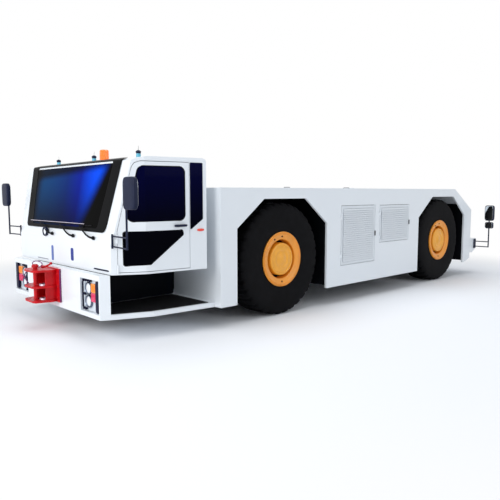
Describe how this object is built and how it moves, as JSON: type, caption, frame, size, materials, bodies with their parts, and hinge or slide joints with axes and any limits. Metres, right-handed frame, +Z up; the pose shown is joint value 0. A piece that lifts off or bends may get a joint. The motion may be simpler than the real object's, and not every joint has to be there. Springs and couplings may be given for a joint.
{
  "type": "aircraft pushback tractor",
  "caption": "Low heavy tractor that pushes and tows parked aircraft, with a cab set low at the front, steered wheels at both ends and tow jaws front and rear.",
  "frame": {"origin": "ground level under the centre of the overall box", "axes": "+Z up, -Y the way the vehicle drives, +X the vehicle's left side"},
  "size_m": [3.87, 8.48, 2.145],
  "materials": {
    "white_paint": "satin",
    "louvre_paint": "satin",
    "black_frame": "matt",
    "engine": "matt",
    "red_paint": "satin",
    "lamp": "gloss",
    "glass": "gloss",
    "amber_lens": "gloss",
    "seat_fabric": "woven",
    "mirror_housing": "matt",
    "hub_steel": "satin",
    "tyre": "matt",
    "rim_paint": "satin"
  },
  "bodies": {
    "chassis": {"side_panel_left": "white_paint", "side_panel_right": "white_paint", "deck": "white_paint", "front_wall": "white_paint", "rear_wall": "white_paint", "front_bumper": "white_paint", "step_left": "white_paint", "step_right": "white_paint", "rear_bumper_left": "white_paint", "rear_bumper_right": "white_paint", "cab_frame": "white_paint", "cab_roof": "white_paint", "front_wheel_box": "black_frame", "rear_wheel_box": "black_frame", "front_axle": "black_frame", "rear_axle": "black_frame", "cab_subframe": "black_frame", "dashboard": "black_frame", "steering_wheel": "black_frame", "engine_block": "engine", "front_hitch": "red_paint", "front_hitch_pin": "red_paint", "rear_hitch": "red_paint", "headlamp_left": "lamp", "headlamp_right": "lamp", "windscreen": "glass", "rear_window": "glass", "quarter_window_left": "glass", "quarter_window_right": "glass", "beacon": "amber_lens", "driver_seat": "seat_fabric", "passenger_seat": "seat_fabric", "mirror_front_left": "mirror_housing", "mirror_front_right": "mirror_housing", "mirror_rear_left": "mirror_housing", "mirror_rear_right": "mirror_housing"},
    "cab_door_left": {"door_left": "white_paint", "door_glass_left": "glass"},
    "louvre_door_main_left_leaf": {"louvre_door_main_left": "louvre_paint"},
    "louvre_door_aft_left_leaf": {"louvre_door_aft_left": "louvre_paint"},
    "cab_door_right": {"door_right": "white_paint", "door_glass_right": "glass"},
    "louvre_door_main_right_leaf": {"louvre_door_main_right": "louvre_paint"},
    "louvre_door_aft_right_leaf": {"louvre_door_aft_right": "louvre_paint"},
    "engine_hatch_lid": {"engine_hatch": "white_paint"},
    "steer_front_left": {"knuckle_front_left": "hub_steel"},
    "wheel_front_left": {"tyre_front_left": "tyre", "rim_front_left": "rim_paint"},
    "steer_front_right": {"knuckle_front_right": "hub_steel"},
    "wheel_front_right": {"tyre_front_right": "tyre", "rim_front_right": "rim_paint"},
    "steer_rear_left": {"knuckle_rear_left": "hub_steel"},
    "wheel_rear_left": {"tyre_rear_left": "tyre", "rim_rear_left": "rim_paint"},
    "steer_rear_right": {"knuckle_rear_right": "hub_steel"},
    "wheel_rear_right": {"tyre_rear_right": "tyre", "rim_rear_right": "rim_paint"}
  },
  "joints": [
    {"name": "cab_door_left_hinge", "type": "hinge", "parent": "chassis", "child": "cab_door_left", "pos_m": [1.2774, -3.77198, 0.74], "axis": [0, 0, -1], "range_deg": [0, 60]},
    {"name": "louvre_door_main_left_hinge", "type": "hinge", "parent": "chassis", "child": "louvre_door_main_left_leaf", "pos_m": [1.5855, -0.269, 0.74], "axis": [0, 0, -1], "range_deg": [0, 110]},
    {"name": "louvre_door_aft_left_hinge", "type": "hinge", "parent": "chassis", "child": "louvre_door_aft_left_leaf", "pos_m": [1.5855, 0.727, 0.74], "axis": [0, 0, -1], "range_deg": [0, 110]},
    {"name": "cab_door_right_hinge", "type": "hinge", "parent": "chassis", "child": "cab_door_right", "pos_m": [-1.2774, -3.77198, 0.74], "axis": [0, 0, 1], "range_deg": [0, 60]},
    {"name": "louvre_door_main_right_hinge", "type": "hinge", "parent": "chassis", "child": "louvre_door_main_right_leaf", "pos_m": [-1.5855, -0.269, 0.74], "axis": [0, 0, 1], "range_deg": [0, 110]},
    {"name": "louvre_door_aft_right_hinge", "type": "hinge", "parent": "chassis", "child": "louvre_door_aft_right_leaf", "pos_m": [-1.5855, 0.727, 0.74], "axis": [0, 0, 1], "range_deg": [0, 110]},
    {"name": "engine_hatch_hinge", "type": "hinge", "parent": "chassis", "child": "engine_hatch_lid", "pos_m": [0, -0.487, 1.6755], "axis": [1, 0, 0], "range_deg": [0, 70]},
    {"name": "front_left_steer", "type": "hinge", "parent": "chassis", "child": "steer_front_left", "pos_m": [1.17, -1.46, 0.74], "axis": [0, 0, 1], "range_deg": [-25, 25]},
    {"name": "front_left_roll", "type": "hinge", "parent": "steer_front_left", "child": "wheel_front_left", "pos_m": [1.31, -1.46, 0.74], "axis": [1, 0, 0], "continuous": true},
    {"name": "front_right_steer", "type": "hinge", "parent": "chassis", "child": "steer_front_right", "pos_m": [-1.17, -1.46, 0.74], "axis": [0, 0, 1], "range_deg": [-25, 25]},
    {"name": "front_right_roll", "type": "hinge", "parent": "steer_front_right", "child": "wheel_front_right", "pos_m": [-1.31, -1.46, 0.74], "axis": [1, 0, 0], "continuous": true},
    {"name": "rear_left_steer", "type": "hinge", "parent": "chassis", "child": "steer_rear_left", "pos_m": [1.17, 2.79, 0.74], "axis": [0, 0, 1], "range_deg": [-25, 25]},
    {"name": "rear_left_roll", "type": "hinge", "parent": "steer_rear_left", "child": "wheel_rear_left", "pos_m": [1.31, 2.79, 0.74], "axis": [1, 0, 0], "continuous": true},
    {"name": "rear_right_steer", "type": "hinge", "parent": "chassis", "child": "steer_rear_right", "pos_m": [-1.17, 2.79, 0.74], "axis": [0, 0, 1], "range_deg": [-25, 25]},
    {"name": "rear_right_roll", "type": "hinge", "parent": "steer_rear_right", "child": "wheel_rear_right", "pos_m": [-1.31, 2.79, 0.74], "axis": [1, 0, 0], "continuous": true}
  ],
  "couplings": [
    {"joint": "front_right_steer", "follows": "front_left_steer", "ratio": 1},
    {"joint": "rear_right_steer", "follows": "rear_left_steer", "ratio": 1}
  ]
}
